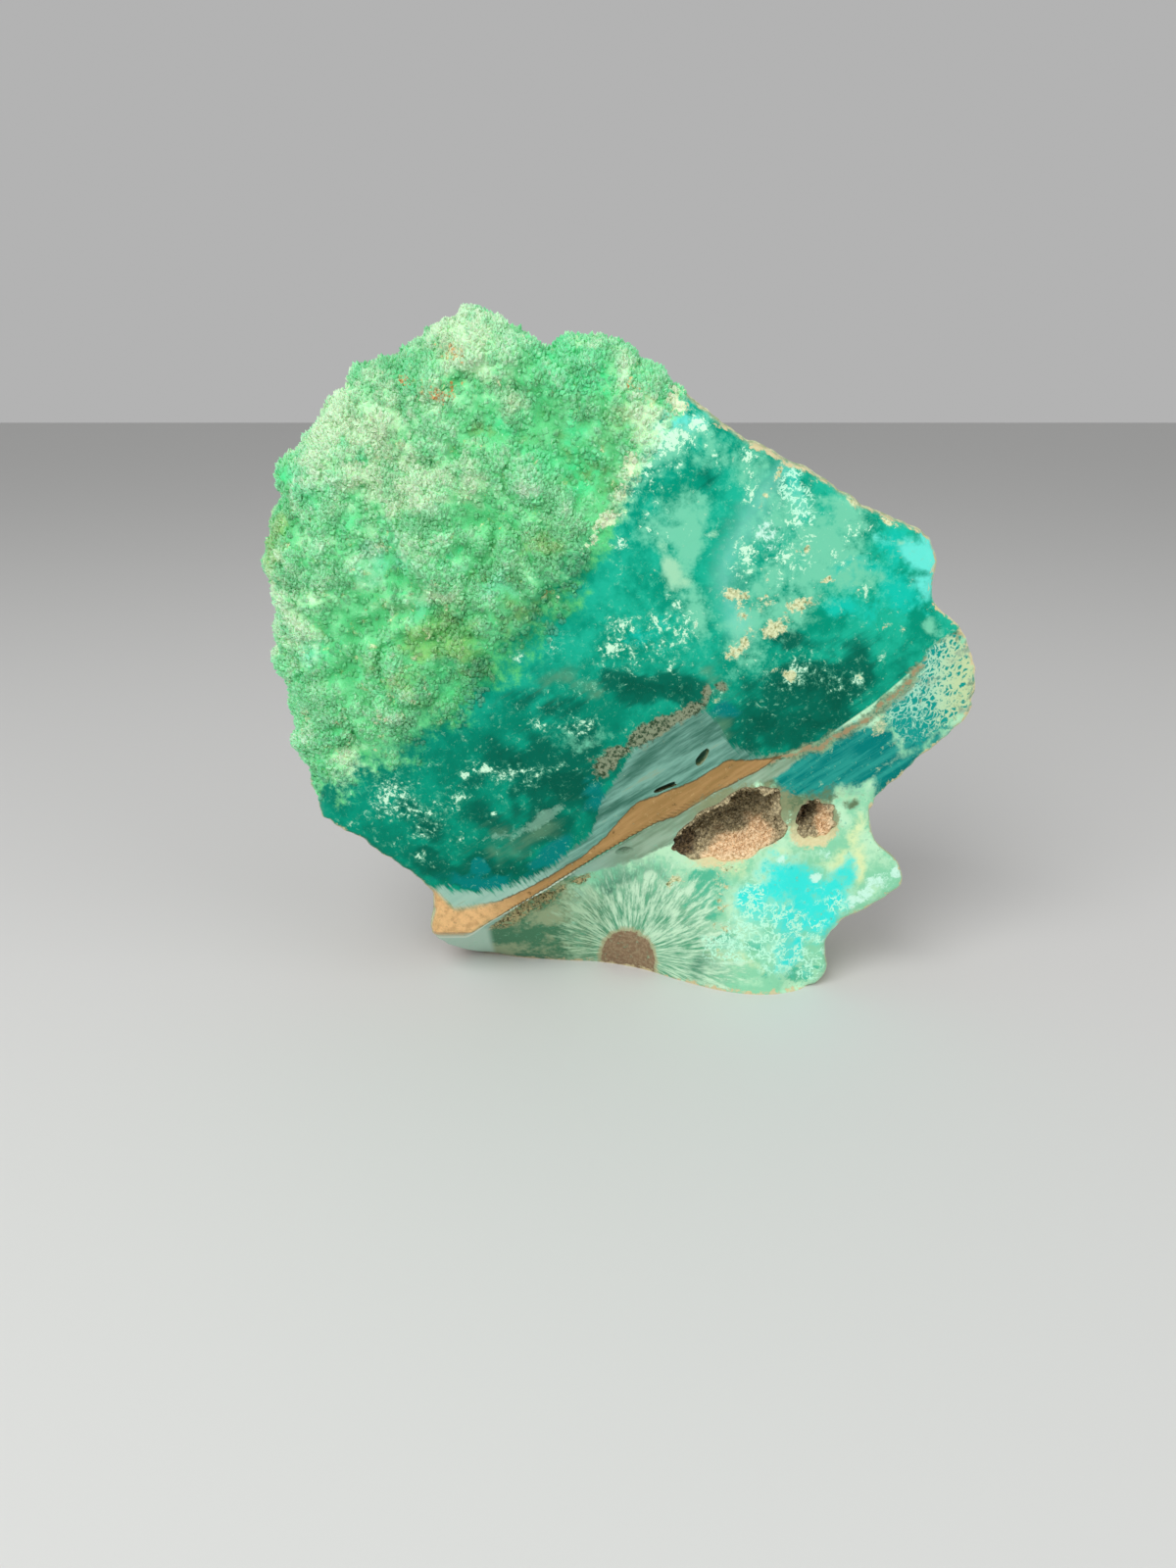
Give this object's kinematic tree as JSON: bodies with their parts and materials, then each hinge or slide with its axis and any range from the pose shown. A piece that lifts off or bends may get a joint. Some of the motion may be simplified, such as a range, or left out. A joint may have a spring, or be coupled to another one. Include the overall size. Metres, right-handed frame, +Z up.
{
  "type": "smithsonite mineral specimen",
  "caption": "Freeform blue-green mineral specimen: polished front face, natural crystal skin, a tan vein, small crystal-lined hollows and a flat cut base to stand on.",
  "frame": {"origin": "centre of the bounding box in X and Y, on the surface that the stone stands on", "axes": "+X right as seen from the polished face, +Y away from the viewer who faces it, +Z up"},
  "size_m": [0.1861, 0.0537, 0.1823],
  "materials": {
    "smithsonite": "polished on the front face, natural and rough elsewhere",
    "vug_crystals": "fine granular crystals, matte"
  },
  "bodies": {
    "root": {"stone": "smithsonite", "large_vug_crust": "vug_crystals", "small_vug_crust": "vug_crystals"}
  },
  "joints": []
}
